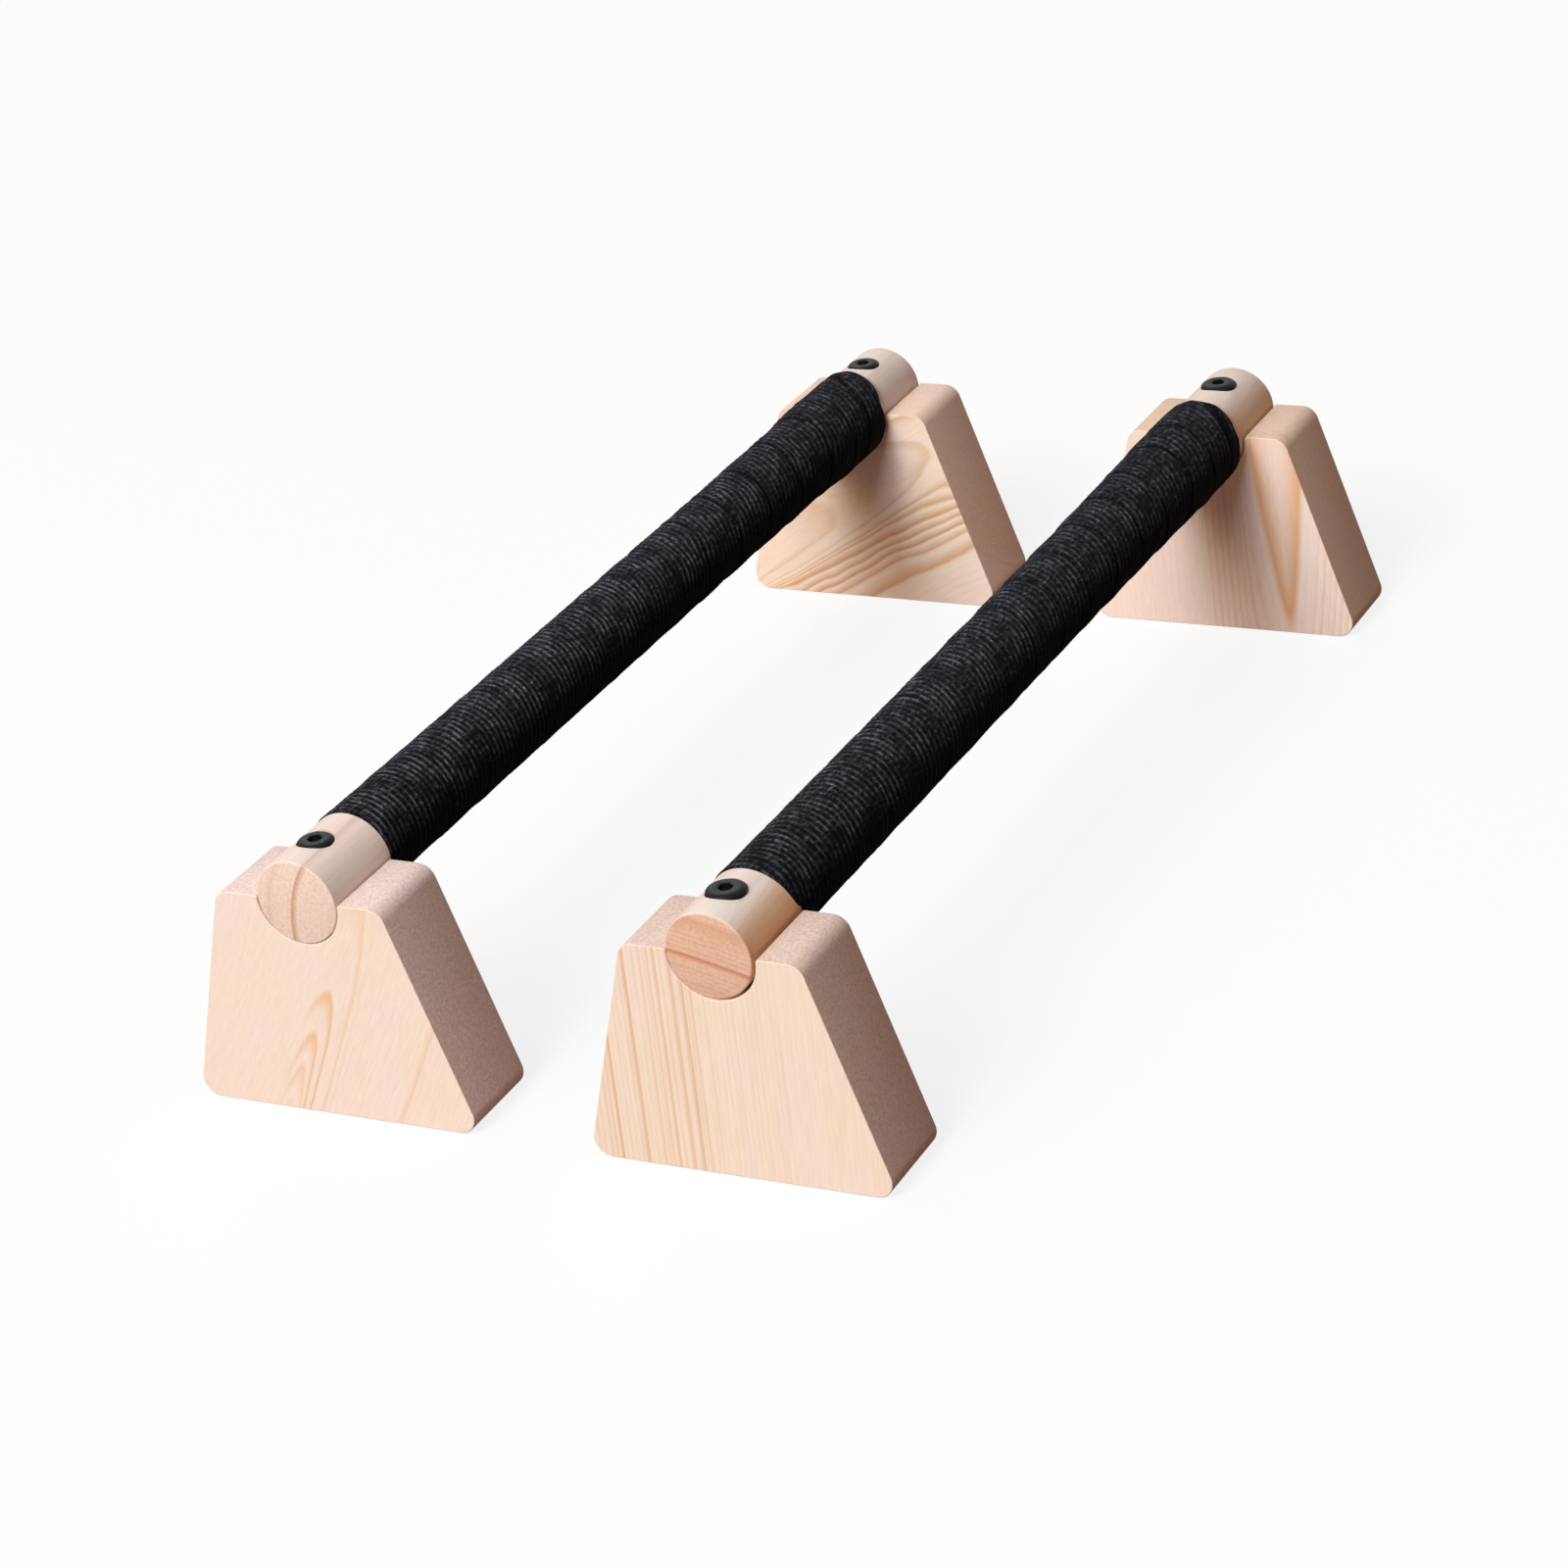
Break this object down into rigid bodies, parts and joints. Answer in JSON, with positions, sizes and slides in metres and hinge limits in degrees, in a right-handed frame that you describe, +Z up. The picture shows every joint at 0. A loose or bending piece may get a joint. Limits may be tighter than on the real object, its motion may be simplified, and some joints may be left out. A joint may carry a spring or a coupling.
{
  "type": "low parallel bars",
  "caption": "Pair of low wooden parallel bars: a round beech rail on tapered pine feet, bolted down, with a black bandage-wound grip, for push-ups and floor training.",
  "frame": {"origin": "on the floor, midway between the two bars and midway along their rails", "axes": "+Z up, +Y along the rails towards the rear feet, +X from the left bar to the right bar"},
  "size_m": [0.2914, 0.5, 0.1081],
  "materials": {
    "pine": "sanded, bare",
    "beech": "turned and sanded, bare",
    "bandage": "matt crepe elastic bandage, black",
    "black_steel": "black oxide, satin",
    "zinc": "cast zinc alloy, plain"
  },
  "bodies": {
    "left_bar": {"left_handrail": "beech", "left_front_foot": "pine", "left_rear_foot": "pine", "left_grip_wrap": "bandage", "left_front_bolt": "black_steel", "left_rear_bolt": "black_steel", "left_front_insert_nut": "zinc", "left_rear_insert_nut": "zinc"},
    "right_bar": {"right_handrail": "beech", "right_front_foot": "pine", "right_rear_foot": "pine", "right_grip_wrap": "bandage", "right_front_bolt": "black_steel", "right_rear_bolt": "black_steel", "right_front_insert_nut": "zinc", "right_rear_insert_nut": "zinc"}
  },
  "joints": [
    {"name": "bar_spacing", "type": "slide", "parent": "left_bar", "child": "right_bar", "axis": [1, 0, 0], "range_m": [-0.04, 0.45]}
  ]
}
